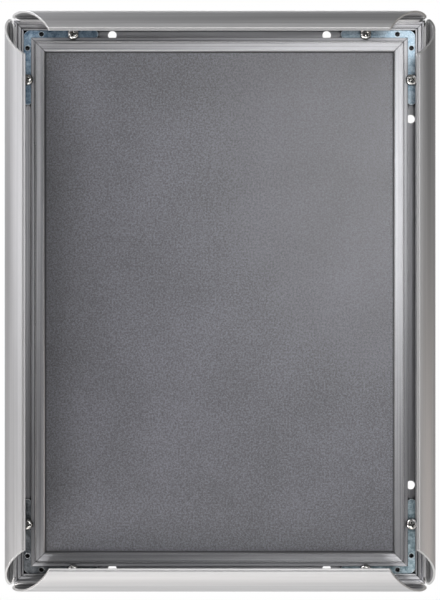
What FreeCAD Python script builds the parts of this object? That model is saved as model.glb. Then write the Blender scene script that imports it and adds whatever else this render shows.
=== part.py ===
import FreeCAD
import Part
import Sketcher
import math
import operator
import os
from collections import namedtuple

# A4 snap frame for a wall: four mitred base rails, four snap rails hinged on their outer edges,
# corner brackets with screws in the channels, toggle springs, a back panel and a clear sheet.
# X points right, Z up and the front faces -Y. The wall is the plane Y = 0, and the origin is the
# middle of the frame's back. Millimetres. The snap rails stand open at the angles below.
# Rail sections are drawn as (inward from the closed outer edge, forward from the wall).

SIZES = {
    "poster_width": 210.0,
    "poster_height": 297.0,
    "poster_clearance": 0.1,
    # back plate and hinge bead of a base rail
    "plate_thickness": 1.0,
    "plate_inset": 1.0,
    "bead_radius": 1.3,
    "stem_thickness": 0.9,
    # ledge, spring groove and screw channel of a base rail
    "ledge_gap": 0.2,
    "ledge_top": 4.2,
    "ledge_wall": 1.1,
    "groove_setback": 0.5,
    "groove_depth": 0.6,
    "channel_width": 6.0,
    "lip_overhang": 0.85,
    "lip_thickness": 0.9,
    # sheet seat and panel slot of a base rail
    "band_width": 1.5,
    "seat_wall": 1.0,
    "seat_width": 5.6,
    "seat_top": 5.4,
    "seat_thickness": 1.2,
    "stop_width": 0.5,
    "stop_height": 0.6,
    "edge_wall": 1.2,
    "slot_height": 2.3,
    "edge_bevel": 0.2,
    "rim_bevel": 0.6,
    # hinge socket and cam of a cover rail
    "hinge_clearance": 0.1,
    "socket_wall": 0.9,
    "socket_gap": 0.3,
    "socket_start_angle": 24.0,
    "socket_end_angle": 258.0,
    "cam_angle": 50.0,
    "cam_radius": 0.6,
    # crowned shell and lip of a cover rail
    "cover_span": 23.6,
    "cover_depth": 13.25,
    "cover_wall": 1.2,
    "crown_radius": 14.2,
    "shoulder_round": 1.0,
    "nose_angle": 40.4,
    "nose_round": 0.45,
    "nose_recess": 0.55,
    "nose_length": 1.7,
    "mitre_gap": 0.25,
    "cover_swing": 80.0,
    "open_angle_left": 61.0,
    "open_angle_right": 66.0,
    "open_angle_top": 61.2,
    "open_angle_bottom": 53.0,
    # corner brackets and their screws
    "bracket_thickness": 1.8,
    "bracket_clearance": 0.2,
    "bracket_reach": 40.5,
    "bracket_round": 6.0,
    "spare_hole_distance": 8.0,
    "spare_hole_radius": 1.4,
    "screw_distance": 26.3,
    "shank_radius": 1.75,
    "shank_clearance": 0.05,
    "shank_overrun": 0.3,
    "head_radius": 3.25,
    "head_flat": 2.6,
    "head_height": 2.0,
    "recess_span": 3.4,
    "recess_width": 0.7,
    "recess_depth": 1.1,
    # wall-screw holes
    "wall_hole_radius": 2.45,
    "wall_hole_offset": 0.25,
    "hole_spacing_across": 123.2,
    "hole_spacing_up": 210.4,
    # toggle springs
    "spring_thickness": 0.4,
    "spring_clearance": 0.05,
    "spring_length": 20.0,
    "spring_setback": 75.0,
    "spring_rise": 0.55,
    "spring_bow": 1.8,
    "spring_sweep": 125.0,
    # back panel and clear sheet
    "panel_thickness": 2.0,
    "panel_clearance": 0.2,
    "sheet_thickness": 0.5,
    "sheet_clearance": 0.75,
}

OPERATIONS = {"+": operator.add, "-": operator.sub, "*": operator.mul, "/": operator.truediv}


class Dim:
    """A number that carries the sheet formula it comes from."""

    def __init__(self, value, formula):
        self.value = value
        self.formula = formula

    def __add__(self, other):
        return join(self, "+", other)

    def __sub__(self, other):
        return join(self, "-", other)

    def __mul__(self, other):
        return join(self, "*", other)

    def __rmul__(self, other):
        return join(other, "*", self)

    def __truediv__(self, other):
        return join(self, "/", other)

    def __neg__(self):
        return join(0, "-", self)


def as_dim(number):
    if isinstance(number, Dim):
        return number
    return Dim(float(number), f"{float(number)}")


def join(left, mark, right):
    first = as_dim(left)
    second = as_dim(right)
    value = OPERATIONS[mark](first.value, second.value)
    return Dim(value, f"({first.formula} {mark} {second.formula})")


def cosine(angle):
    return Dim(math.cos(math.radians(angle.value)), f"cos({angle.formula} * 1 deg)")


def sine(angle):
    return Dim(math.sin(math.radians(angle.value)), f"sin({angle.formula} * 1 deg)")


def arcsine(ratio):
    return Dim(math.degrees(math.asin(ratio.value)), f"(asin({ratio.formula}) / 1 deg)")


def arctangent(rise, run):
    value = math.degrees(math.atan2(rise.value, run.value))
    return Dim(value, f"(atan2({rise.formula}; {run.formula}) / 1 deg)")


def root(square):
    return Dim(math.sqrt(square.value), f"sqrt({square.formula})")


def polar(centre, radius, angle):
    return (centre[0] + radius * cosine(angle), centre[1] + radius * sine(angle))


doc = FreeCAD.newDocument("SnapFrame")
sheet = doc.addObject("Spreadsheet::Sheet", "Sizes")
size = {}
for row, (alias, number) in enumerate(SIZES.items(), start=1):
    sheet.set(f"A{row}", alias)
    sheet.set(f"B{row}", str(number))
    sheet.setAlias(f"B{row}", alias)
    size[alias] = Dim(number, f"Sizes.{alias}")
doc.recompute()

# Places that the base rails and what fits them share, worked out from the sheet.
socket_inner = size["bead_radius"] + size["hinge_clearance"]
socket_outer = socket_inner + size["socket_wall"]
hinge_inset = socket_outer
hinge_height = size["plate_thickness"] + size["socket_gap"] + socket_outer
ledge_face = 2 * socket_outer + size["ledge_gap"]
channel_start = ledge_face + size["ledge_wall"]
channel_end = channel_start + size["channel_width"]
channel_middle = channel_start + size["channel_width"] / 2
lip_under = size["ledge_top"] - size["lip_thickness"]
seat_step = channel_end + size["band_width"]
slot_wall = seat_step + size["seat_wall"]
rail_edge = seat_step + size["seat_width"]
stop_face = seat_step + size["stop_width"]
groove_floor = size["ledge_top"] - size["groove_depth"]
groove_width = size["spring_thickness"] + 2 * size["spring_clearance"]
groove_middle = ledge_face + size["groove_setback"] + groove_width / 2
poster_margin = stop_face + size["poster_clearance"]
frame_width = size["poster_width"] + 2 * poster_margin
frame_height = size["poster_height"] + 2 * poster_margin
mitre_reach = 2 * poster_margin

Step = namedtuple("Step", "end centre radius turn")


def line_to(end):
    return Step(end, None, None, None)


def arc_to(end, centre, radius, turn):
    return Step(end, centre, radius, turn)


def bevel(corners):
    """Turn square corners (inward, forward, bevel or None) into straight runs with their edges broken."""
    path = []
    for index, (across, ahead, broken) in enumerate(corners):
        if broken is None:
            path.append(line_to((across, ahead)))
            continue
        before = corners[index - 1]
        after = corners[(index + 1) % len(corners)]
        in_across, in_ahead = heading(before, corners[index])
        out_across, out_ahead = heading(corners[index], after)
        path.append(line_to((across - broken * in_across, ahead - broken * in_ahead)))
        path.append(line_to((across + broken * out_across, ahead + broken * out_ahead)))
    return path


def heading(start, end):
    """Give the direction from one corner to the next along the section's axes, as -1, 0 or 1."""
    across = end[0].value - start[0].value
    ahead = end[1].value - start[1].value
    if abs(across) > abs(ahead):
        return int(math.copysign(1, across)), 0
    return 0, int(math.copysign(1, ahead))


def vector(point):
    return FreeCAD.Vector(point[0].value, point[1].value, 0)


def step_geometry(start, step):
    """Give a step's curve, with the numbers of its first and last points along the path."""
    if step.centre is None:
        return Part.LineSegment(vector(start), vector(step.end)), 1, 2
    circle = Part.Circle(vector(step.centre), FreeCAD.Vector(0, 0, 1), step.radius.value)
    from_angle = circle.parameter(vector(start))
    to_angle = circle.parameter(vector(step.end))
    if step.turn > 0:
        to_angle += 2 * math.pi * (to_angle <= from_angle)
        return Part.ArcOfCircle(circle, from_angle, to_angle), 1, 2
    from_angle += 2 * math.pi * (from_angle <= to_angle)
    return Part.ArcOfCircle(circle, to_angle, from_angle), 2, 1


def tie(sketch, constraint, formula):
    index = sketch.addConstraint(constraint)
    sketch.setExpression(f"Constraints[{index}]", formula)


def tie_point(sketch, curve, number, place):
    for kind, dim in zip(("DistanceX", "DistanceY"), place):
        tie(sketch, Sketcher.Constraint(kind, -1, 1, curve, number, dim.value), dim.formula)


def draw_outline(sketch, path):
    """Draw a closed path and tie each corner and radius to the sheet."""
    start = path[-1].end
    drawn = []
    for step in path:
        geometry, first, last = step_geometry(start, step)
        drawn.append((sketch.addGeometry(geometry, False), first, last))
        start = step.end
    for index, step in enumerate(path):
        curve, first, last = drawn[index]
        following, its_first, its_last = drawn[(index + 1) % len(path)]
        sketch.addConstraint(Sketcher.Constraint("Coincident", curve, last, following, its_first))
        tie_point(sketch, curve, last, step.end)
        if step.radius is not None:
            tie(sketch, Sketcher.Constraint("Radius", curve, step.radius.value), step.radius.formula)


def draw_circle(sketch, centre, radius):
    circle = Part.Circle(vector(centre), FreeCAD.Vector(0, 0, 1), radius.value)
    curve = sketch.addGeometry(circle, False)
    tie_point(sketch, curve, 3, centre)
    tie(sketch, Sketcher.Constraint("Radius", curve, radius.value), radius.formula)


def new_body(label):
    body = doc.addObject("PartDesign::Body", label)
    body.Label = label
    return body


def new_sketch(body, role, lift=None):
    """Attach a sketch to one of the body's origin planes, lifted along its normal."""
    sketch = body.newObject("Sketcher::SketchObject", f"{body.Label}_{role}")
    plane = next(feature for feature in body.Origin.OriginFeatures if feature.Role == role)
    sketch.AttachmentSupport = [(plane, "")]
    sketch.MapMode = "FlatFace"
    if lift is not None:
        sketch.AttachmentOffset = FreeCAD.Placement(FreeCAD.Vector(0, 0, lift.value), FreeCAD.Rotation())
        sketch.setExpression("AttachmentOffset.Base.z", lift.formula)
    return sketch


def pad(body, sketch, length, symmetric=True):
    feature = body.newObject("PartDesign::Pad", f"{body.Label}_pad")
    feature.Profile = sketch
    feature.SideType = "Symmetric" if symmetric else "One side"
    feature.Length = length.value
    feature.setExpression("Length", length.formula)
    doc.recompute()


def cut(body, sketch, depth=None):
    """Pocket a sketch right through the body, or to a depth against the sketch's normal."""
    uncut = body.Shape.Volume
    feature = body.newObject("PartDesign::Pocket", f"{body.Label}_cut")
    feature.Profile = sketch
    if depth is None:
        feature.SideType = "Symmetric"
        feature.Type = "ThroughAll"
    else:
        feature.Length = depth.value
        feature.setExpression("Length", depth.formula)
    doc.recompute()
    if body.Shape.Volume >= uncut:
        raise RuntimeError(f"a cut in {body.Label} removed nothing")


def cut_mitres(body, length, outer_edge, gap):
    """Cut both ends at 45 degrees, so that the outer edge keeps the whole length."""
    sketch = new_sketch(body, "XZ_Plane")
    apex = outer_edge - gap
    for end in (1, -1):
        corner = end * length / 2
        far = outer_edge + mitre_reach
        rise = end * (far - apex)
        triangle = [(apex, corner), (far, corner - rise), (far, corner + rise)]
        draw_outline(sketch, [line_to(point) for point in triangle])
    cut(body, sketch)


FRONT = FreeCAD.Vector(0, -1, 0)
Side = namedtuple("Side", "inward along half length hole_spacing")
LEFT = FreeCAD.Vector(-1, 0, 0)
RIGHT = FreeCAD.Vector(1, 0, 0)
UP = FreeCAD.Vector(0, 0, 1)
DOWN = FreeCAD.Vector(0, 0, -1)
SIDES = {
    "left": Side(RIGHT, DOWN, frame_width / 2, frame_height, None),
    "right": Side(LEFT, UP, frame_width / 2, frame_height, size["hole_spacing_up"]),
    "top": Side(DOWN, LEFT, frame_height / 2, frame_width, size["hole_spacing_across"]),
    "bottom": Side(UP, RIGHT, frame_height / 2, frame_width, size["hole_spacing_across"]),
}
nodes = []


def side_placement(side, inward, forward, along, turn=0.0):
    """Stand a section drawn as (inward, forward) on its side of the frame."""
    base = side.inward * (inward - side.half.value) + FRONT * forward + side.along * along
    stand = FreeCAD.Rotation(side.inward, FRONT, side.along, "XYZ")
    return FreeCAD.Placement(base, stand.multiply(FreeCAD.Rotation(FreeCAD.Vector(0, 0, 1), turn)))


def base_section():
    """Outline of a base rail: bead and stem, ledge, T-slot channel, seat with its stop, panel slot."""
    plate = size["plate_thickness"]
    ledge = size["ledge_top"]
    seat = size["seat_top"]
    broken = size["edge_bevel"]
    stop = seat + size["stop_height"]
    seat_under = seat - size["seat_thickness"]
    slot_top = plate + size["slot_height"]
    edge_start = rail_edge - size["edge_wall"]
    mouth_start = channel_start + size["lip_overhang"]
    mouth_end = channel_end - size["lip_overhang"]
    half_groove = groove_width / 2
    half_stem = size["stem_thickness"] / 2
    bead = size["bead_radius"]
    bead_join = hinge_inset + root(bead * bead - half_stem * half_stem)
    corners = [
        (size["plate_inset"], 0 * plate, None),
        (rail_edge, 0 * plate, None),
        (rail_edge, plate, None),
        (slot_wall, plate, None),
        (slot_wall, seat_under, None),
        (edge_start, seat_under, None),
        (edge_start, slot_top, None),
        (rail_edge, slot_top, broken),
        (rail_edge, seat, size["rim_bevel"]),
        (stop_face, seat, None),
        (stop_face, stop, broken),
        (seat_step, stop, broken),
        (seat_step, ledge, None),
        (mouth_end, ledge, broken),
        (mouth_end, lip_under, None),
        (channel_end, lip_under, None),
        (channel_end, plate, None),
        (channel_start, plate, None),
        (channel_start, lip_under, None),
        (mouth_start, lip_under, None),
        (mouth_start, ledge, broken),
        (groove_middle + half_groove, ledge, None),
        (groove_middle + half_groove, groove_floor, None),
        (groove_middle - half_groove, groove_floor, None),
        (groove_middle - half_groove, ledge, None),
        (ledge_face, ledge, None),
        (ledge_face, hinge_height + half_stem, None),
    ]
    hinge = (hinge_inset, hinge_height)
    path = bevel(corners)
    path.append(line_to((bead_join, hinge_height + half_stem)))
    path.append(arc_to((bead_join, hinge_height - half_stem), hinge, bead, 1))
    path.append(line_to((ledge_face, hinge_height - half_stem)))
    path.append(line_to((ledge_face, plate)))
    path.append(line_to((size["plate_inset"], plate)))
    return path


def make_base_rail(name, side):
    body = new_body(f"base_rail_{name}")
    section = new_sketch(body, "XY_Plane")
    draw_outline(section, base_section())
    pad(body, section, side.length)
    cut_mitres(body, side.length, 0 * side.length, 0 * side.length)
    if side.hole_spacing is not None:
        holes = new_sketch(body, "XZ_Plane")
        hole_line = channel_middle + size["wall_hole_offset"]
        for end in (1, -1):
            draw_circle(holes, (hole_line, end * side.hole_spacing / 2), size["wall_hole_radius"])
        cut(body, holes, lip_under)
    body.Placement = side_placement(side, 0, 0, 0)
    nodes.append(body)


def cover_section():
    """Outline of a closed cover rail about its hinge axis: socket, cam, outer wall, crown and lip."""
    wall = size["cover_wall"]
    hinge = (0 * wall, 0 * wall)
    outer_edge = -hinge_inset
    crown = size["crown_radius"]
    vault = crown - wall
    middle = (size["cover_span"] / 2 - hinge_inset, size["cover_depth"] - crown - hinge_height)
    inner_face = outer_edge + wall
    wall_foot = root(socket_outer * socket_outer - inner_face * inner_face)
    vault_run = inner_face - middle[0]
    vault_start = middle[1] + root(vault * vault - vault_run * vault_run)
    cam_spread = 2 * arcsine(size["cam_radius"] / (2 * socket_outer))
    cam_centre = polar(hinge, socket_outer, size["cam_angle"])
    nose = size["nose_angle"]
    brow = size["nose_round"]
    brow_centre = polar(middle, crown - brow, nose)
    shelf = polar(middle, crown - size["nose_recess"], nose)
    tip = polar(shelf, size["nose_length"], nose - 90)
    tip_angle = arctangent(tip[1] - middle[1], tip[0] - middle[0])
    round_off = size["shoulder_round"]
    shoulder_run = outer_edge + round_off - middle[0]
    shoulder_rise = root((crown - round_off) * (crown - round_off) - shoulder_run * shoulder_run)
    shoulder = (outer_edge + round_off, middle[1] + shoulder_rise)
    shoulder_angle = arctangent(shoulder_rise, shoulder_run)
    start = size["socket_start_angle"]
    end = size["socket_end_angle"]
    return [
        arc_to(polar(hinge, socket_inner, start), hinge, socket_inner, -1),
        line_to(polar(hinge, socket_outer, start)),
        arc_to(polar(hinge, socket_outer, size["cam_angle"] - cam_spread), hinge, socket_outer, 1),
        arc_to(polar(hinge, socket_outer, size["cam_angle"] + cam_spread), cam_centre, size["cam_radius"], 1),
        arc_to((inner_face, wall_foot), hinge, socket_outer, 1),
        line_to((inner_face, vault_start)),
        arc_to(polar(middle, vault, tip_angle), middle, vault, -1),
        line_to(tip),
        line_to(polar(shelf, brow, nose - 90)),
        line_to(polar(brow_centre, brow, nose - 90)),
        arc_to(polar(middle, crown, nose), brow_centre, brow, 1),
        arc_to(polar(middle, crown, shoulder_angle), middle, crown, 1),
        arc_to((outer_edge, shoulder[1]), shoulder, round_off, 1),
        line_to((outer_edge, 0 * wall)),
        arc_to(polar(hinge, socket_outer, end), hinge, socket_outer, 1),
        line_to(polar(hinge, socket_inner, end)),
    ]


def cut_socket_ends(body, length):
    """Stop the parts that swing inward short of the mitres, so that they clear the next rail.

    The socket's underside swings furthest and ends short of the next rail's ledge. Only the tip of the
    outer wall's foot is trimmed, by as much as it swings past the mitre.
    """
    sketch = new_sketch(body, "YZ_Plane")
    swing = size["cover_swing"]
    bottom = -2 * socket_outer
    step = socket_outer * sine(swing / 2)
    top = hinge_inset * sine(swing / 2) / cosine(swing / 2)
    drift = hinge_inset - hinge_inset * cosine(swing) - step * sine(swing)
    deep = ledge_face + size["mitre_gap"]
    shallow = drift + 2 * size["mitre_gap"]
    for end in (1, -1):
        low = end * (length / 2 - deep)
        high = end * (length / 2 - shallow)
        past = end * (length / 2 + deep)
        notch = [(bottom, low), (step, low), (step, high), (top, high), (top, past), (bottom, past)]
        draw_outline(sketch, [line_to(point) for point in notch])
    cut(body, sketch)


def make_cover_rail(name, side):
    body = new_body(f"cover_rail_{name}")
    section = new_sketch(body, "XY_Plane")
    draw_outline(section, cover_section())
    pad(body, section, side.length)
    cut_mitres(body, side.length, -hinge_inset, size["mitre_gap"])
    cut_socket_ends(body, side.length)
    opened = size[f"open_angle_{name}"].value
    body.Placement = side_placement(side, hinge_inset.value, hinge_height.value, 0, opened)
    nodes.append(body)


def spring_section():
    """Outline of a toggle spring: a foot in the ledge's groove, bowed over onto the hinge socket."""
    half = size["spring_thickness"] / 2
    bow = size["spring_bow"]
    bend = size["ledge_top"] + size["spring_rise"]
    centre = (groove_middle - bow, bend)
    sweep = size["spring_sweep"]
    return [
        line_to((groove_middle + half, groove_floor)),
        line_to((groove_middle + half, bend)),
        arc_to(polar(centre, bow + half, sweep), centre, bow + half, 1),
        line_to(polar(centre, bow - half, sweep)),
        arc_to((groove_middle - half, bend), centre, bow - half, -1),
        line_to((groove_middle - half, groove_floor)),
    ]


def make_springs(name, side, ends):
    away = side.length.value / 2 - size["spring_setback"].value
    for end, along in zip(ends, (away, -away)):
        body = new_body(f"toggle_spring_{name}_{end}")
        section = new_sketch(body, "XY_Plane")
        draw_outline(section, spring_section())
        pad(body, section, size["spring_length"])
        body.Placement = side_placement(side, 0, 0, along)
        nodes.append(body)


Corner = namedtuple("Corner", "across up turn")
CORNERS = {
    "bottom_left": Corner(-1, -1, 0),
    "bottom_right": Corner(1, -1, 90),
    "top_right": Corner(1, 1, 180),
    "top_left": Corner(-1, 1, 270),
}


def corner_placement(corner, arm_x, arm_y, forward):
    """Stand a corner piece where the channels' middle lines cross, with its arms along the rails."""
    across = corner.across * (frame_width.value / 2 - channel_middle.value)
    up = corner.up * (frame_height.value / 2 - channel_middle.value)
    face_front = FreeCAD.Rotation(FreeCAD.Vector(1, 0, 0), 90)
    turn = face_front.multiply(FreeCAD.Rotation(FreeCAD.Vector(0, 0, 1), corner.turn))
    place = FreeCAD.Placement(FreeCAD.Vector(across, 0, up), turn)
    return place.multiply(FreeCAD.Placement(FreeCAD.Vector(arm_x, arm_y, forward), FreeCAD.Rotation()))


def bracket_outline():
    """Outline of an L bracket with round arm ends and a rounded outer corner."""
    half = size["channel_width"] / 2 - size["bracket_clearance"]
    reach = size["bracket_reach"]
    cap = reach - half
    bend = size["bracket_round"] - half
    zero = 0 * half
    return [
        line_to((cap, -half)),
        arc_to((reach, zero), (cap, zero), half, 1),
        arc_to((cap, half), (cap, zero), half, 1),
        line_to((half, half)),
        line_to((half, cap)),
        arc_to((zero, reach), (zero, cap), half, 1),
        arc_to((-half, cap), (zero, cap), half, 1),
        line_to((-half, bend)),
        arc_to((bend, -half), (bend, bend), size["bracket_round"], 1),
    ]


def make_bracket(name, corner):
    body = new_body(f"corner_bracket_{name}")
    outline = new_sketch(body, "XY_Plane")
    draw_outline(outline, bracket_outline())
    pad(body, outline, size["bracket_thickness"], symmetric=False)
    holes = new_sketch(body, "XY_Plane")
    zero = 0 * lip_under
    screw_hole = size["shank_radius"] + size["shank_clearance"]
    for distance, radius in (
        (size["spare_hole_distance"], size["spare_hole_radius"]),
        (size["screw_distance"], screw_hole),
    ):
        draw_circle(holes, (distance, zero), radius)
        draw_circle(holes, (zero, distance), radius)
    cut(body, holes)
    body.Placement = corner_placement(corner, 0, 0, lip_under.value - size["bracket_thickness"].value)
    nodes.append(body)


def screw_section():
    """Half section of a pan-head screw about its axis, from the point of the shank to the flat of the head."""
    shank = size["shank_radius"]
    head = size["head_radius"]
    seat = size["ledge_top"]
    top = seat + size["head_height"]
    tip = lip_under - size["bracket_thickness"] - size["shank_overrun"]
    zero = 0 * shank
    return [
        line_to((shank, tip)),
        line_to((shank, seat)),
        line_to((head, seat)),
        line_to((size["head_flat"], top)),
        line_to((zero, top)),
        line_to((zero, tip)),
    ]


def recess_outline():
    """Outline of the cross recess in a screw head."""
    long = size["recess_span"] / 2
    short = size["recess_width"] / 2
    path = []
    for across, up in ((1, 1), (-1, 1), (-1, -1), (1, -1)):
        arms = [(long, short), (short, short), (short, long)]
        if across != up:
            arms.reverse()
        path += [line_to((across * x, up * y)) for x, y in arms]
    return path


def make_screw(label, placement):
    body = new_body(label)
    section = new_sketch(body, "XZ_Plane")
    draw_outline(section, screw_section())
    turned = body.newObject("PartDesign::Revolution", f"{label}_turned")
    turned.Profile = section
    turned.ReferenceAxis = (section, ["V_Axis"])
    turned.Angle = 360
    doc.recompute()
    recess = new_sketch(body, "XY_Plane", size["ledge_top"] + size["head_height"])
    draw_outline(recess, recess_outline())
    cut(body, recess, size["recess_depth"])
    body.Placement = placement
    return body


def make_screws(name, corner):
    distance = size["screw_distance"].value
    group = doc.addObject("Part::Compound", f"bracket_screws_{name}")
    group.Label = f"bracket_screws_{name}"
    group.Links = [
        make_screw(f"screw_{name}_across", corner_placement(corner, distance, 0, 0)),
        make_screw(f"screw_{name}_along", corner_placement(corner, 0, distance, 0)),
    ]
    nodes.append(group)


def make_flat(label, margin, back, thickness):
    """Cut a flat sheet that leaves a margin inside the closed frame's outer edge."""
    flat = doc.addObject("Part::Box", label)
    flat.Label = label
    width = frame_width - 2 * margin
    height = frame_height - 2 * margin
    flat.setExpression("Length", width.formula)
    flat.setExpression("Width", thickness.formula)
    flat.setExpression("Height", height.formula)
    flat.setExpression("Placement.Base.x", (-width / 2).formula)
    flat.setExpression("Placement.Base.y", (-(back + thickness)).formula)
    flat.setExpression("Placement.Base.z", (-height / 2).formula)
    nodes.append(flat)


for name, side in SIDES.items():
    make_base_rail(name, side)
    make_cover_rail(name, side)
for name, side in SIDES.items():
    upright = side.along in (UP, DOWN)
    far_end, near_end = ("upper", "lower") if upright else ("right", "left")
    ends = (far_end, near_end) if side.along in (UP, RIGHT) else (near_end, far_end)
    make_springs(name, side, ends)
for name, corner in CORNERS.items():
    make_bracket(name, corner)
    make_screws(name, corner)
make_flat("back_panel", slot_wall + size["panel_clearance"], size["plate_thickness"], size["panel_thickness"])
make_flat("clear_sheet", stop_face + size["sheet_clearance"], size["seat_top"], size["sheet_thickness"])

doc.recompute()
for item in doc.Objects:
    if "Invalid" in item.State or "Error" in item.State:
        raise RuntimeError(f"{item.Label} failed: {item.State}")
for node in nodes:
    if node.Shape.isNull() or not node.Shape.isValid():
        raise RuntimeError(f"{node.Label} has no valid shape")
os.makedirs("parts", exist_ok=True)
for node in nodes:
    node.Shape.exportStep(f"parts/{node.Label}.step")
    print(f"{node.Label}: {len(node.Shape.Solids)} solid, {node.Shape.Volume:.1f} mm3")
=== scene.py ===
import math

import bmesh
import bpy
import numpy as np
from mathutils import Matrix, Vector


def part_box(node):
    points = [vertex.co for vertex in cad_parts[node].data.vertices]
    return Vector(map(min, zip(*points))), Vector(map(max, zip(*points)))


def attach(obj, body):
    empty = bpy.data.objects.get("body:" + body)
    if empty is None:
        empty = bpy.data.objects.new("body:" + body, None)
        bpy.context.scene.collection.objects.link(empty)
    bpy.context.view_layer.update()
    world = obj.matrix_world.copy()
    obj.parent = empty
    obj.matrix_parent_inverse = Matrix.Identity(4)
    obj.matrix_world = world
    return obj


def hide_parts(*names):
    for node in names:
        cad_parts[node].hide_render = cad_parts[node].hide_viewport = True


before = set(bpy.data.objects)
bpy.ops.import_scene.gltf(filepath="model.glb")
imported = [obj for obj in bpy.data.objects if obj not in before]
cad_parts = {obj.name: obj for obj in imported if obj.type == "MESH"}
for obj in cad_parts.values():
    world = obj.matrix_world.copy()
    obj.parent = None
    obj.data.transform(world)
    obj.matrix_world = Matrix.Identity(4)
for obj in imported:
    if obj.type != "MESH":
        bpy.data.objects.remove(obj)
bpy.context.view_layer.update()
MM = 0.001

# Base rails: four mitred lengths of extruded aluminium, satin anodised, drawn together at the corners
# by brackets in their channels. The die leaves fine straight lines along each length, and the anodic
# film softens the metal to a silky grey sheen.


def linear(hex_colour):
    """sRGB hex to linear RGBA: a channel c is c / 12.92 when small, else ((c + 0.055) / 1.055) ^ 2.4."""
    channels = [int(hex_colour[i:i + 2], 16) / 255 for i in (1, 3, 5)]
    return [c / 12.92 if c <= 0.04045 else ((c + 0.055) / 1.055) ** 2.4 for c in channels] + [1.0]


BLACK = linear("#000000")


def add(tree, kind, inputs, **settings):
    """Add a node, apply its settings, and set or link each of its inputs by name or number."""
    node = tree.nodes.new(kind)
    for name, value in settings.items():
        setattr(node, name, value)
    for key, value in inputs.items():
        if isinstance(value, bpy.types.NodeSocket):
            tree.links.new(value, node.inputs[key])
        else:
            node.inputs[key].default_value = value
    return node


def new_finish(name):
    """Start a material and give its node tree, its shader and the piece's own coordinates."""
    material = bpy.data.materials.new(name)
    material.use_nodes = True
    tree = material.node_tree
    place = add(tree, "ShaderNodeTexCoord", {}).outputs["Object"]
    return material, tree, tree.nodes["Principled BSDF"], place


def coat_node(name, material):
    """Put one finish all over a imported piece."""
    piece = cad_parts[name]
    piece.data.materials.clear()
    piece.data.materials.append(material)


def painted_recess_shade(tree, reach, shut, clear, darkest, samples=6):
    """Painted shade in recesses: how far a point is open to the air, darkest where shut in within a
    reach, 1 in the clear.
    """
    air = add(tree, "ShaderNodeAmbientOcclusion", {"Distance": reach}, samples=samples).outputs["AO"]
    limits = {"Value": air, 1: shut, 2: clear, 3: darkest, 4: 1.0}
    return add(tree, "ShaderNodeMapRange", limits).outputs[0]


def mitre_shade(tree, place):
    """Dark hairlines where two saw cuts meet, on the planes |up| - |across| = half height - half width.

    A real joint is a few hundredths of a millimetre wide. It is drawn coarser here so that it shows.
    """
    hairline = 0.16 * MM
    fade = 0.4 * MM
    shade = 0.36
    corner_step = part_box("base_rail_top")[1].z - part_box("base_rail_right")[1].x
    spans = add(tree, "ShaderNodeSeparateXYZ", {0: place}).outputs
    across = add(tree, "ShaderNodeMath", {0: spans[0]}, operation="ABSOLUTE").outputs[0]
    up = add(tree, "ShaderNodeMath", {0: spans[2]}, operation="ABSOLUTE").outputs[0]
    step = add(tree, "ShaderNodeMath", {0: up, 1: across}, operation="SUBTRACT").outputs[0]
    off = add(tree, "ShaderNodeMath", {0: step, 1: corner_step}, operation="SUBTRACT").outputs[0]
    off = add(tree, "ShaderNodeMath", {0: off}, operation="ABSOLUTE").outputs[0]
    limits = {"Value": off, 1: hairline, 2: fade, 3: shade, 4: 1.0}
    return add(tree, "ShaderNodeMapRange", limits).outputs[0]


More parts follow.
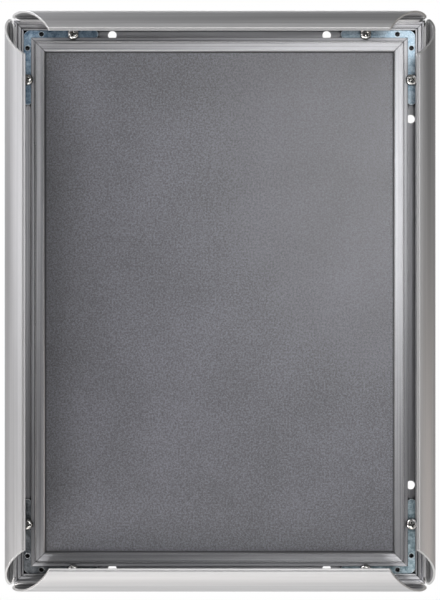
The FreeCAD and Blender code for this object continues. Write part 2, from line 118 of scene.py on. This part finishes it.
def anodised_aluminium(name, along, dull, bright, rough, darkest_painted_shade, mitred=False):
    """Anodised extrusion: noise drawn out along the length gives die lines in tone, gloss and relief.

    Faces that look along the length are the saw cuts of the mitres, bare bright metal with no film.
    Edges, where a rounded normal leaves the smooth one, are lightened towards bare metal, partly as wear
    and partly as a painted highlight, and tight recesses are darkened with painted shade. Real die lines
    are finer than these, which are drawn coarser so that they show.
    """
    die_line = 0.9 * MM
    line_depth = 0.01 * MM
    band = 3.5 * MM
    band_share = 0.4
    run = 220 * MM
    worn_and_highlit_edge = 0.3 * MM
    recess = 3 * MM
    sawn_facing = 0.3
    bare_metal_highlight = linear("#D0D0CF")
    material, tree, shader, place = new_finish(name)
    looks = add(tree, "ShaderNodeTexCoord", {}).outputs["Normal"]
    ahead = add(tree, "ShaderNodeSeparateXYZ", {0: looks}).outputs[along]
    ahead = add(tree, "ShaderNodeMath", {0: ahead}, operation="ABSOLUTE").outputs[0]
    sawn = add(tree, "ShaderNodeMath", {0: ahead, 1: sawn_facing}, operation="GREATER_THAN").outputs[0]
    smooth = add(tree, "ShaderNodeNewGeometry", {}).outputs["Normal"]
    rounded = add(tree, "ShaderNodeBevel", {"Radius": worn_and_highlit_edge}, samples=4).outputs[0]
    kept = add(
        tree, "ShaderNodeVectorMath", {0: rounded, 1: smooth}, operation="DOT_PRODUCT").outputs["Value"]
    # Rounded edges are lightened towards bare metal: partly wear, partly a painted highlight.
    wear_and_highlight = add(tree, "ShaderNodeMapRange", {"Value": kept, 1: 0.99, 2: 0.9, 3: 0.0, 4: 0.6}).outputs[0]
    bare_cut_and_highlight = add(tree, "ShaderNodeMath", {0: sawn, 1: wear_and_highlight}, operation="MAXIMUM").outputs[0]
    fine = [1 / die_line] * 3
    fine[along] = 1 / run
    wide = [1 / band] * 3
    wide[along] = 1 / run
    fine_place = add(tree, "ShaderNodeMapping", {"Vector": place, "Scale": fine}).outputs[0]
    wide_place = add(tree, "ShaderNodeMapping", {"Vector": place, "Scale": wide}).outputs[0]
    line_noise = {"Vector": fine_place, "Scale": 1.0, "Detail": 3.0}
    lines = add(tree, "ShaderNodeTexNoise", line_noise).outputs[0]
    band_noise = {"Vector": wide_place, "Scale": 1.0, "Detail": 2.0}
    bands = add(tree, "ShaderNodeTexNoise", band_noise).outputs[0]
    tone = add(tree, "ShaderNodeMix", {0: band_share, 2: lines, 3: bands}, data_type="FLOAT").outputs[0]
    ramp = add(tree, "ShaderNodeValToRGB", {"Fac": tone})
    ramp.color_ramp.elements[0].position = 0.35
    ramp.color_ramp.elements[0].color = linear(dull)
    ramp.color_ramp.elements[1].position = 0.65
    ramp.color_ramp.elements[1].color = linear(bright)
    film = ramp.outputs["Color"]
    metal = add(tree, "ShaderNodeMix", {0: bare_cut_and_highlight, 6: film, 7: bare_metal_highlight}, data_type="RGBA").outputs[2]
    # Painted shade: the colour darkens towards black in tight recesses, by how shut in each point is;
    # the mitre hairlines are dark joints.
    unshaded_and_clean = painted_recess_shade(tree, recess, 0.38, 0.68, darkest_painted_shade)
    if mitred:
        joint = mitre_shade(tree, place)
        unshaded_and_clean = add(tree, "ShaderNodeMath", {0: unshaded_and_clean, 1: joint}, operation="MULTIPLY").outputs[0]
    colour = add(tree, "ShaderNodeMix", {0: unshaded_and_clean, 6: BLACK, 7: metal}, data_type="RGBA").outputs[2]
    gloss = add(tree, "ShaderNodeMapRange", {"Value": lines, 1: 0.25, 2: 0.75, 3: rough[0], 4: rough[1]})
    furrows = {"Height": lines, "Strength": 0.25, "Distance": line_depth, "Normal": rounded}
    relief = add(tree, "ShaderNodeBump", furrows)
    length = [0.0, 0.0, 0.0]
    length[along] = 1.0
    grain = add(tree, "ShaderNodeCombineXYZ", {0: length[0], 1: length[1], 2: length[2]}).outputs[0]
    tree.links.new(colour, shader.inputs["Base Color"])
    tree.links.new(gloss.outputs[0], shader.inputs["Roughness"])
    tree.links.new(relief.outputs[0], shader.inputs["Normal"])
    tree.links.new(grain, shader.inputs["Tangent"])
    shader.inputs["Metallic"].default_value = 1.0
    shader.inputs["Anisotropic"].default_value = 0.6
    shader.inputs["Anisotropic Rotation"].default_value = 0.25
    return material


SIDE_AXIS = {"left": 2, "right": 2, "top": 0, "bottom": 0}
RAIL_TONES = ("#8A8A8D", "#C0C0C3")
RAIL_ROUGHNESS = (0.30, 0.40)
# Painted shade in the rails' recesses reaches black.
RAIL_DARKEST_PAINTED_SHADE = 0.0
for side, along in SIDE_AXIS.items():
    rail_finish = anodised_aluminium(
        f"satin_anodised_aluminium_{side}", along, *RAIL_TONES, RAIL_ROUGHNESS, RAIL_DARKEST_PAINTED_SHADE, mitred=True)
    coat_node(f"base_rail_{side}", rail_finish)

# Back panel: a sheet of grey high-impact polystyrene, extruded with a fine leather-like matt texture
# and slid into the slots behind the seats before the last rail goes on.


def textured_polystyrene(name, dark, light):
    """Matt plastic sheet: a grain of fine pits from noise in tone, gloss and relief, with a faint cloud.

    The real grain is finer than this one, which is drawn coarser so that it shows. At the seats the rim
    is painted dark with shade, and its gloss goes dull there.
    """
    grain = 0.95 * MM
    pit_depth = 0.05 * MM
    cloud = 45 * MM
    cloud_share = 0.2
    recess = 1.4 * MM
    dusty_roughness = 1.0
    material, tree, shader, place = new_finish(name)
    pit_noise = {"Vector": place, "Scale": 1 / grain, "Detail": 2.0}
    pits = add(tree, "ShaderNodeTexNoise", pit_noise).outputs[0]
    cloud_noise = {"Vector": place, "Scale": 1 / cloud, "Detail": 2.0}
    clouds = add(tree, "ShaderNodeTexNoise", cloud_noise).outputs[0]
    tone = add(tree, "ShaderNodeMix", {0: cloud_share, 2: pits, 3: clouds}, data_type="FLOAT").outputs[0]
    ramp = add(tree, "ShaderNodeValToRGB", {"Fac": tone})
    ramp.color_ramp.elements[0].position = 0.35
    ramp.color_ramp.elements[0].color = linear(dark)
    ramp.color_ramp.elements[1].position = 0.65
    ramp.color_ramp.elements[1].color = linear(light)
    gloss = add(tree, "ShaderNodeMapRange", {"Value": pits, 1: 0.3, 2: 0.7, 3: 0.29, 4: 0.39})
    relief = add(tree, "ShaderNodeBump", {"Height": pits, "Strength": 0.4, "Distance": pit_depth})
    # Painted shade: along the rim at the seats the colour darkens to black, and the same mask turns the
    # gloss dull.
    unshaded_and_clean = painted_recess_shade(tree, recess, 0.72, 0.88, 0.0, samples=12)
    dust = {0: unshaded_and_clean, 2: dusty_roughness, 3: gloss.outputs[0]}
    matt = add(tree, "ShaderNodeMix", dust, data_type="FLOAT")
    plastic = ramp.outputs["Color"]
    colour = add(tree, "ShaderNodeMix", {0: unshaded_and_clean, 6: BLACK, 7: plastic}, data_type="RGBA").outputs[2]
    tree.links.new(colour, shader.inputs["Base Color"])
    tree.links.new(matt.outputs[0], shader.inputs["Roughness"])
    tree.links.new(relief.outputs[0], shader.inputs["Normal"])
    shader.inputs["IOR"].default_value = 1.59
    shader.inputs["Specular IOR Level"].default_value = 0.85
    return material


PANEL_TONES = ("#232329", "#595963")
coat_node("back_panel", textured_polystyrene("textured_grey_polystyrene", *PANEL_TONES))

# Corner brackets: L-shaped blanks punched from steel strip and blue zinc plated. They slide in the
# channels of two rails and are drawn up under the lips by their screws, which closes the mitre.


def blue_zinc(name, dark, light):
    """Passivated zinc on pressed steel: cloudy blue-grey patches with fine bright crystals between.

    Edges, where a rounded normal leaves the smooth one, are lightened towards bare zinc, partly as wear
    and partly as a painted highlight, and hollows such as the holes are darkened with painted shade.
    Real crystals are finer than these, which are drawn coarser so that they show.
    """
    patch = 2.5 * MM
    crystal = 0.7 * MM
    crystal_share = 0.3
    crystal_depth = 0.03 * MM
    worn_and_highlit_edge = 0.45 * MM
    recess = 2 * MM
    rubbed_zinc_highlight = linear("#F4F6F8")
    material, tree, shader, place = new_finish(name)
    patch_noise = {"Vector": place, "Scale": 1 / patch, "Detail": 4.0}
    patches = add(tree, "ShaderNodeTexNoise", patch_noise).outputs[0]
    crystals = add(tree, "ShaderNodeTexVoronoi", {"Vector": place, "Scale": 1 / crystal}).outputs[0]
    shares = {0: crystal_share, 2: patches, 3: crystals}
    tone = add(tree, "ShaderNodeMix", shares, data_type="FLOAT").outputs[0]
    ramp = add(tree, "ShaderNodeValToRGB", {"Fac": tone})
    ramp.color_ramp.elements[0].position = 0.3
    ramp.color_ramp.elements[0].color = linear(dark)
    ramp.color_ramp.elements[1].position = 0.7
    ramp.color_ramp.elements[1].color = linear(light)
    # Painted shade: the colour darkens towards black in the holes and close under the lips.
    unshaded_and_clean = painted_recess_shade(tree, recess, 0.3, 0.7, 0.1)
    smooth = add(tree, "ShaderNodeNewGeometry", {}).outputs["Normal"]
    rounded = add(tree, "ShaderNodeBevel", {"Radius": worn_and_highlit_edge}, samples=4).outputs[0]
    kept = add(
        tree, "ShaderNodeVectorMath", {0: rounded, 1: smooth}, operation="DOT_PRODUCT").outputs["Value"]
    # Rounded edges lighten towards bare zinc: partly wear, partly a painted highlight.
    wear_and_highlight = add(tree, "ShaderNodeMapRange", {"Value": kept, 1: 0.995, 2: 0.95, 3: 0.0, 4: 1.0}).outputs[0]
    film = ramp.outputs["Color"]
    plate = add(tree, "ShaderNodeMix", {0: wear_and_highlight, 6: film, 7: rubbed_zinc_highlight}, data_type="RGBA").outputs[2]
    colour = add(tree, "ShaderNodeMix", {0: unshaded_and_clean, 6: BLACK, 7: plate}, data_type="RGBA").outputs[2]
    gloss = add(tree, "ShaderNodeMapRange", {"Value": patches, 1: 0.3, 2: 0.7, 3: 0.3, 4: 0.44})
    relief = add(tree, "ShaderNodeBump", {"Height": tone, "Strength": 0.4, "Distance": crystal_depth})
    tree.links.new(colour, shader.inputs["Base Color"])
    tree.links.new(gloss.outputs[0], shader.inputs["Roughness"])
    tree.links.new(relief.outputs[0], shader.inputs["Normal"])
    shader.inputs["Metallic"].default_value = 1.0
    return material


def tumbled_copy(node, name, edge):
    """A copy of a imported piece, with its triangles merged into whole faces and its edges bevelled."""
    same_point = 1e-6
    flat_angle = math.radians(0.5)
    sharp_angle = math.radians(35)
    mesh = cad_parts[node].data.copy()
    mesh.name = name
    shape = bmesh.new()
    shape.from_mesh(mesh)
    bmesh.ops.remove_doubles(shape, verts=shape.verts, dist=same_point)
    bmesh.ops.dissolve_limit(shape, angle_limit=flat_angle, verts=shape.verts, edges=shape.edges)
    shape.to_mesh(mesh)
    shape.free()
    if "custom_normal" in mesh.attributes:
        mesh.attributes.remove(mesh.attributes["custom_normal"])
    mesh.polygons.foreach_set("use_smooth", np.ones(len(mesh.polygons), bool))
    mesh.set_sharp_from_angle(angle=sharp_angle)
    piece = bpy.data.objects.new(name, mesh)
    bpy.context.scene.collection.objects.link(piece)
    bevel = piece.modifiers.new("tumbled_edges", "BEVEL")
    bevel.width = edge
    bevel.segments = 2
    bevel.limit_method = "ANGLE"
    bevel.angle_limit = sharp_angle
    bevel.harden_normals = True
    return piece


# Painted light and shade: one plating in four tones, darkest and most neutral at the bottom left, palest
# at the top right, as light falls on each corner.
BRACKET_LIT_AND_SHADED_TONES = {
    "bottom_left": ("#3A3D40", "#7C8084"),
    "bottom_right": ("#62787F", "#B2C2CA"),
    "top_right": ("#748C9E", "#C8D8E2"),
    "top_left": ("#4C667E", "#A2B6C6"),
}
CORNERS = tuple(BRACKET_LIT_AND_SHADED_TONES)
TUMBLED_EDGE = 0.25 * MM
for corner in CORNERS:
    bracket = tumbled_copy(f"corner_bracket_{corner}", f"punched_bracket_{corner}", TUMBLED_EDGE)
    bracket.data.materials.clear()
    bracket.data.materials.append(blue_zinc(f"blue_zinc_plated_steel_{corner}", *BRACKET_LIT_AND_SHADED_TONES[corner]))
    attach(bracket, "frame")
    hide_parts(f"corner_bracket_{corner}")

# Bracket screws: M3.5 pan heads with cross recesses, cold headed and bright zinc plated. The head
# bridges the mouth of the channel and its shank pulls the bracket up under the lips.

HEAD_RADIUS = 3.25 * MM


def grid_faces(rows, columns):
    """Quads of a grid whose columns close on themselves, numbered row by row."""
    row, column = np.meshgrid(np.arange(rows - 1), np.arange(columns), indexing="ij")
    beside = (column + 1) % columns
    start = row * columns
    after = start + columns
    corners = (start + column, start + beside, after + beside, after + column)
    return np.stack([c.ravel() for c in corners], axis=1)


def pan_head_screw(turn):
    """Points (across, up, forward) of a screw on its axis, in rings from the shank's tip to the crown.

    The shank's radius falls by a triangle wave of (forward / pitch - angle / full turn), a thread. The
    head's height is a superellipse of its radius, less a cross recess whose depth fades along its arms.
    """
    columns = 96
    tip_rings = 3
    shank_rings = 40
    crown_rings = 72
    head_height = 2.0 * MM
    seat_edge = 0.3 * MM
    shank_radius = 1.75 * MM
    shank_length = 3.0 * MM
    pitch = 0.6 * MM
    thread = 0.2 * MM
    recess_depth = 1.1 * MM
    arm_length = 1.75 * MM
    arm_fade = 1.0 * MM
    arm_half_width = 0.46 * MM
    arm_flank = 0.14 * MM
    angle = np.arange(columns) * 2 * math.pi / columns
    shank_rise = np.linspace(-shank_length, 0, shank_rings)[:, None]
    wave = np.abs(((shank_rise / pitch - angle / (2 * math.pi)) % 1) * 2 - 1)
    shank_ring = shank_radius - thread * wave
    tip = np.linspace(0, 1, tip_rings + 1)[:-1, None] * shank_ring[:1]
    radius = np.concatenate([tip, shank_ring, np.full((1, columns), HEAD_RADIUS)])
    tip_rise = np.full((tip_rings, columns), -shank_length)
    rise = np.concatenate([tip_rise, shank_rise + 0 * angle, np.zeros((1, columns))])
    share = np.sin(np.linspace(math.pi / 2, 0, crown_rings))[:, None]
    crown_radius = HEAD_RADIUS * share + 0 * angle
    crown = seat_edge + (head_height - seat_edge) * (1 - share ** 3.2).clip(0) ** (1 / 2.2) + 0 * angle
    across = np.abs(crown_radius * np.cos(angle))
    up = np.abs(crown_radius * np.sin(angle))
    arm = np.maximum(across, up)
    flank = np.minimum(across, up)
    depth = recess_depth * ((arm_length - arm) / arm_fade).clip(0, 1) ** 0.7
    wall = ((arm_half_width - flank) / arm_flank).clip(0, 1)
    radius = np.concatenate([radius, crown_radius])
    rise = np.concatenate([rise, crown - depth * wall])
    points = np.stack([radius * np.cos(angle + turn), radius * np.sin(angle + turn), rise], axis=-1)
    return points.reshape(-1, 3), grid_faces(len(radius), columns)


def bright_zinc(name, dark, light):
    """Bright zinc on a headed screw: close to a mirror, with fine tool marks and a few dull spots."""
    spot = 1.2 * MM
    spot_depth = 0.02 * MM
    recess = 1.2 * MM
    material, tree, shader, place = new_finish(name)
    spot_noise = {"Vector": place, "Scale": 1 / spot, "Detail": 4.0}
    spots = add(tree, "ShaderNodeTexNoise", spot_noise).outputs[0]
    ramp = add(tree, "ShaderNodeValToRGB", {"Fac": spots})
    ramp.color_ramp.elements[0].position = 0.35
    ramp.color_ramp.elements[0].color = linear(dark)
    ramp.color_ramp.elements[1].position = 0.6
    ramp.color_ramp.elements[1].color = linear(light)
    gloss = add(tree, "ShaderNodeMapRange", {"Value": spots, 1: 0.3, 2: 0.7, 3: 0.28, 4: 0.14})
    relief = add(tree, "ShaderNodeBump", {"Height": spots, "Strength": 0.2, "Distance": spot_depth})
    # Painted shade: the colour darkens towards black in the cross recess and where the head sits down.
    unshaded_and_clean = painted_recess_shade(tree, recess, 0.35, 0.8, 0.05)
    plate = ramp.outputs["Color"]
    colour = add(tree, "ShaderNodeMix", {0: unshaded_and_clean, 6: BLACK, 7: plate}, data_type="RGBA").outputs[2]
    tree.links.new(colour, shader.inputs["Base Color"])
    tree.links.new(gloss.outputs[0], shader.inputs["Roughness"])
    tree.links.new(relief.outputs[0], shader.inputs["Normal"])
    shader.inputs["Metallic"].default_value = 1.0
    return material


screw_finish = bright_zinc("bright_zinc_plated_steel", "#8E8D8A", "#CFCECB")
LEDGE_TOP = 4.2 * MM
SCREW_TURNS = {
    "bottom_left": (20, 65),
    "bottom_right": (50, 12),
    "top_right": (35, 80),
    "top_left": (70, 28),
}
for corner in CORNERS:
    low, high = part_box(f"bracket_screws_{corner}")
    right = "right" in corner
    top = "top" in corner
    outer_x = high.x - HEAD_RADIUS if right else low.x + HEAD_RADIUS
    inner_x = low.x + HEAD_RADIUS if right else high.x - HEAD_RADIUS
    outer_z = high.z - HEAD_RADIUS if top else low.z + HEAD_RADIUS
    inner_z = low.z + HEAD_RADIUS if top else high.z - HEAD_RADIUS
    all_points = []
    all_faces = []
    for (x, z), degrees in zip(((inner_x, outer_z), (outer_x, inner_z)), SCREW_TURNS[corner]):
        points, faces = pan_head_screw(math.radians(degrees))
        placed = np.stack([x + points[:, 0], -LEDGE_TOP - points[:, 2], z + points[:, 1]], axis=1)
        all_faces.append(faces + sum(len(p) for p in all_points))
        all_points.append(placed)
    mesh = bpy.data.meshes.new(f"pan_head_screws_{corner}")
    mesh.from_pydata(np.concatenate(all_points).tolist(), [], np.concatenate(all_faces).tolist())
    mesh.materials.append(screw_finish)
    screws = bpy.data.objects.new(f"pan_head_screws_{corner}", mesh)
    bpy.context.scene.collection.objects.link(screws)
    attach(screws, "frame")
    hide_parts(f"bracket_screws_{corner}")

# Toggle springs: short leaves of blued spring steel, two to a side. The foot stands in a groove of
# the ledge and the bowed back presses on the cover's hinge, which snaps it open or shut.


def blued_steel(name, dark, light):
    """Tempered strip: dark straw-blue oxide with fine rolling marks and a soft gloss."""
    mark = 0.4 * MM
    material, tree, shader, place = new_finish(name)
    mark_noise = {"Vector": place, "Scale": 1 / mark, "Detail": 3.0}
    marks = add(tree, "ShaderNodeTexNoise", mark_noise).outputs[0]
    ramp = add(tree, "ShaderNodeValToRGB", {"Fac": marks})
    ramp.color_ramp.elements[0].color = linear(dark)
    ramp.color_ramp.elements[1].color = linear(light)
    gloss = add(tree, "ShaderNodeMapRange", {"Value": marks, 3: 0.25, 4: 0.45})
    tree.links.new(ramp.outputs["Color"], shader.inputs["Base Color"])
    tree.links.new(gloss.outputs[0], shader.inputs["Roughness"])
    shader.inputs["Metallic"].default_value = 1.0
    return material


spring_finish = blued_steel("blued_spring_steel", "#5E5F63", "#8C8D90")
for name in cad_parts:
    if name.startswith("toggle_spring_"):
        coat_node(name, spring_finish)

# Cover rails: crowned aluminium extrusions, satin anodised, that hook round the bead on the base
# rail's outer edge and swing over the poster's margin. Their faces are the smoothest in the frame.

COVER_TONES = ("#B4B4B5", "#C6C6C7")
COVER_ROUGHNESS = (0.45, 0.55)
# Painted shade in the covers' recesses stops at 0.4 of the metal's tone.
COVER_DARKEST_PAINTED_SHADE = 0.4
cover_finish = {
    2: anodised_aluminium("satin_anodised_cover_upright", 2, *COVER_TONES, COVER_ROUGHNESS, COVER_DARKEST_PAINTED_SHADE),
    0: anodised_aluminium("satin_anodised_cover_level", 0, *COVER_TONES, COVER_ROUGHNESS, COVER_DARKEST_PAINTED_SHADE),
}
for side, along in SIDE_AXIS.items():
    coat_node(f"cover_rail_{side}", cover_finish[along])

# Clear sheet: half a millimetre of clear polyester film with a fine matt grain on its face against
# glare. It lies on the seats, keeps the poster flat and clean, and is too clear to throw a shadow.


def matt_polyester(name, tint):
    """Clear film: mostly let through, with a soft broad gloss from its fine frosted grain."""
    grain = 0.6 * MM
    material, tree, shader, place = new_finish(name)
    frost_noise = {"Vector": place, "Scale": 1 / grain, "Detail": 2.0}
    frost = add(tree, "ShaderNodeTexNoise", frost_noise).outputs[0]
    gloss = add(tree, "ShaderNodeMapRange", {"Value": frost, 1: 0.3, 2: 0.7, 3: 0.4, 4: 0.55})
    tree.links.new(gloss.outputs[0], shader.inputs["Roughness"])
    shader.inputs["Base Color"].default_value = linear(tint)
    shader.inputs["IOR"].default_value = 1.58
    shader.inputs["Alpha"].default_value = 0.02
    return material


coat_node("clear_sheet", matt_polyester("clear_matt_polyester", "#D8DBDE"))
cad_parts["clear_sheet"].visible_shadow = False

# Studio: two large soft boxes at the left, one high and one low, rake across the rails. Weaker boxes and
# cards at the left, right and front lift the shade, one stands behind, and a pale surround, brightest
# below, fills the rest. The glowing floor shows to the camera alone and isn't reflected.

FLOOR_HEIGHT = -1.3
FLOOR_RADIUS = 6.4
FLOOR_SIDES = 96
floor_turn = np.arange(FLOOR_SIDES) * 2 * math.pi / FLOOR_SIDES
floor_rim = np.stack([np.cos(floor_turn), np.sin(floor_turn), 0 * floor_turn], axis=1) * FLOOR_RADIUS
floor_rim[:, 2] = FLOOR_HEIGHT
floor_mesh = bpy.data.meshes.new("floor")
floor_mesh.from_pydata(floor_rim.tolist(), [], [range(FLOOR_SIDES)])
floor_material, _, floor_shader, _ = new_finish("pale_floor")
floor_shader.inputs["Base Color"].default_value = linear("#E6E6E4")
floor_shader.inputs["Roughness"].default_value = 0.8
floor_shader.inputs["Emission Color"].default_value = linear("#FFFFFF")
floor_shader.inputs["Emission Strength"].default_value = 0.5
floor_mesh.materials.append(floor_material)
floor = bpy.data.objects.new("floor", floor_mesh)
floor.visible_diffuse = False
floor.visible_glossy = False
bpy.context.scene.collection.objects.link(floor)


def soft_box(name, bearing, rise, width, height, watts, tint):
    """An area light on a sphere round the frame, facing its middle, at a bearing and rise in degrees."""
    distance = 1.35
    turn = math.radians(bearing)
    lift = math.radians(rise)
    light = bpy.data.lights.new(name, "AREA")
    light.shape = "RECTANGLE"
    light.size = width
    light.size_y = height
    light.energy = watts
    light.color = linear(tint)[:3]
    lamp = bpy.data.objects.new(name, light)
    level = distance * math.cos(lift)
    lamp.location = (level * math.sin(turn), -level * math.cos(turn), distance * math.sin(lift))
    bpy.context.scene.collection.objects.link(lamp)
    lamp.rotation_euler = lamp.location.to_track_quat("Z", "Y").to_euler()


soft_box("high_left_box", -75, 45, 0.7, 0.7, 27.0, "#FDFCFF")
soft_box("low_left_box", -60, -40, 0.7, 0.7, 17.0, "#FFFBF8")
soft_box("left_front_box", -48, 6, 0.7, 0.4, 3.3, "#FDFCFF")
soft_box("left_card", -90, 4, 0.5, 0.9, 0.4, "#FDFCFF")
soft_box("right_card", 80, -19, 0.7, 0.7, 2.7, "#FFF3EA")
soft_box("low_card", 2, -46, 0.7, 0.7, 1.8, "#FFF6EF")
soft_box("front_right_card", 14, 8, 0.55, 0.5, 3.2, "#FFFFFF")
soft_box("front_high_card", -6, 24, 0.5, 0.2, 0.7, "#FFFFFF")
soft_box("front_low_card", 2, -28, 0.6, 0.15, 2.4, "#FFFFFF")
soft_box("rear_box", 180, 25, 0.9, 0.9, 10.0, "#FFFFFF")

DIM_GLOW = 0.13
BEHIND_GLOW = 0.4
BELOW_GLOW = 1.0
SEEN_GLOW = 1.0
world = bpy.data.worlds.new("white_surround")
world.use_nodes = True
bpy.context.scene.world = world
surround = world.node_tree
ahead = add(surround, "ShaderNodeTexCoord", {}).outputs["Generated"]
bearings = add(surround, "ShaderNodeSeparateXYZ", {0: ahead}).outputs
behind_limits = {"Value": bearings[1], 1: 0.0, 2: 0.8, 3: DIM_GLOW, 4: BEHIND_GLOW}
behind = add(surround, "ShaderNodeMapRange", behind_limits).outputs[0]
below_limits = {"Value": bearings[2], 1: -0.3, 2: -0.75, 3: DIM_GLOW, 4: BELOW_GLOW}
below = add(surround, "ShaderNodeMapRange", below_limits).outputs[0]
glow = add(surround, "ShaderNodeMath", {0: behind, 1: below}, operation="MAXIMUM").outputs[0]
seen = add(surround, "ShaderNodeLightPath", {}).outputs["Is Camera Ray"]
strength = add(surround, "ShaderNodeMapRange", {"Value": seen, 3: glow, 4: SEEN_GLOW}).outputs[0]
surround.links.new(strength, surround.nodes["Background"].inputs["Strength"])
surround.nodes["Background"].inputs["Color"].default_value = linear("#FFFFFF")

bpy.context.scene.view_settings.view_transform = "Standard"
camera_data = bpy.data.cameras.new("camera")
camera_data.sensor_fit = "VERTICAL"
camera_data.sensor_height = 36.0
camera_data.lens = 104.7
camera = bpy.data.objects.new("camera", camera_data)
camera.location = (0.0003, -1.004, 0.00115)
camera.rotation_euler = (math.pi / 2, 0.0, 0.0)
bpy.context.scene.collection.objects.link(camera)
bpy.context.scene.camera = camera
